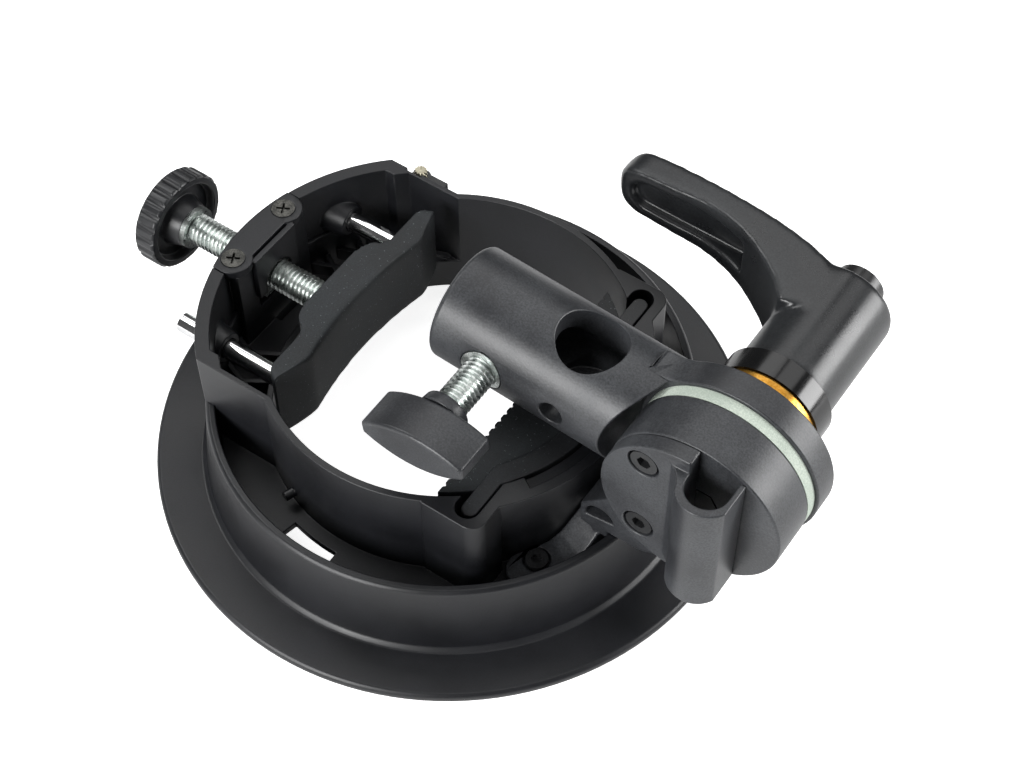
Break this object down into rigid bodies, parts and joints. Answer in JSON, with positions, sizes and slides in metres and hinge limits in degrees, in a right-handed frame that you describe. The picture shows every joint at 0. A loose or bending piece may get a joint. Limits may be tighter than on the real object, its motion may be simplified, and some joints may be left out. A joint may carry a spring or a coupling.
{
  "type": "flash_bracket",
  "caption": "Clamping ring bracket for a portable flash head, with a bayonet dish for light modifiers, an umbrella socket and a tilting light-stand head with a clamping lever",
  "frame": {"origin": "centre of the dish's open face, on the ring's axis", "axes": "+Z along the ring's axis from the open face of the dish towards the clamping ring; +X from the ring's axis towards the tilting head, with the clamp knob at -X; +Y towards the clamping lever"},
  "size_m": [0.1871, 0.148, 0.0761],
  "materials": {
    "moulded_plastic": "satin black moulded nylon with a fine grain",
    "coated_casting": "charcoal powder coat on die-cast aluminium",
    "soft_rubber": "matt black soft rubber",
    "zinc_steel": "bright zinc plate",
    "chromed_rod": "polished chrome plate",
    "black_steel": "black oxide",
    "fibre_washer": "pale grey-green speckled friction fibre",
    "turned_brass": "turned bright brass",
    "gloss_plastic": "glossy black"
  },
  "bodies": {
    "bracket": {"bayonet_dish": "moulded_plastic", "ring_body": "moulded_plastic", "nut_cover": "moulded_plastic", "cover_screws": "black_steel", "clamp_nut": "zinc_steel", "pad_carrier": "soft_rubber", "fixed_pad": "soft_rubber", "support_bracket": "coated_casting", "bracket_screws": "black_steel", "umbrella_cover": "coated_casting", "umbrella_cover_screws": "black_steel", "friction_washer": "fibre_washer", "pivot_bolt": "zinc_steel", "lock_spring": "zinc_steel"},
    "pad_carriage": {"pad_backing": "moulded_plastic", "clamp_pad": "soft_rubber", "guide_rods": "chromed_rod", "rod_clips": "zinc_steel"},
    "clamp_spindle": {"clamp_screw": "zinc_steel", "screw_clip": "zinc_steel", "clamp_knob": "moulded_plastic", "knob_collar": "black_steel"},
    "tilt_head": {"stand_socket": "coated_casting", "thread_inserts": "zinc_steel", "brass_washer": "turned_brass", "spacer_ring": "gloss_plastic"},
    "stand_screw": {"stand_screw": "zinc_steel"},
    "stand_wing": {"stand_knob": "coated_casting"},
    "lever_core": {"lever_insert": "zinc_steel", "lever_cap_screw": "black_steel", "lever_spring": "zinc_steel"},
    "lever_grip": {"lever_handle": "coated_casting"},
    "lock_plunger": {"lock_pin": "zinc_steel", "lock_clip": "zinc_steel", "lock_tab": "moulded_plastic"}
  },
  "joints": [
    {"name": "clamp_slide", "type": "slide", "parent": "bracket", "child": "pad_carriage", "axis": [1, 0, 0], "range_m": [-0.008, 0.009]},
    {"name": "clamp_turn", "type": "hinge", "parent": "pad_carriage", "child": "clamp_spindle", "pos_m": [-0.0788, 0, 0.0288], "axis": [1, 0, 0], "range_deg": [-2304, 2592]},
    {"name": "head_tilt", "type": "hinge", "parent": "bracket", "child": "tilt_head", "pos_m": [0.0753, 0, 0.0541], "axis": [0, 1, 0], "range_deg": [-2, 200]},
    {"name": "stand_screw_travel", "type": "slide", "parent": "tilt_head", "child": "stand_screw", "axis": [0, 1, 0], "range_m": [-0.003, 0.008]},
    {"name": "stand_knob_turn", "type": "hinge", "parent": "stand_screw", "child": "stand_wing", "pos_m": [0.01914, -0.0292, 0.05813], "axis": [0, 1, 0], "range_deg": [-864, 2304]},
    {"name": "lever_turn", "type": "hinge", "parent": "bracket", "child": "lever_core", "pos_m": [0.0753, 0.03, 0.0541], "axis": [0, 1, 0], "range_deg": [-15, 165]},
    {"name": "lever_lift", "type": "slide", "parent": "lever_core", "child": "lever_grip", "axis": [0, 1, 0], "range_m": [0, 0.0025], "stiffness_N_per_m": 900, "springref_m": -0.002, "deforming": ["lever_spring"]},
    {"name": "lock_lift", "type": "slide", "parent": "bracket", "child": "lock_plunger", "axis": [0, 0, 1], "range_m": [0, 0.0045], "stiffness_N_per_m": 400, "springref_m": -0.003, "deforming": ["lock_spring"]}
  ],
  "couplings": [
    {"joint": "clamp_turn", "follows": "clamp_slide", "rad_per_m": 5026.5},
    {"joint": "stand_knob_turn", "follows": "stand_screw_travel", "rad_per_m": 5026.5}
  ]
}
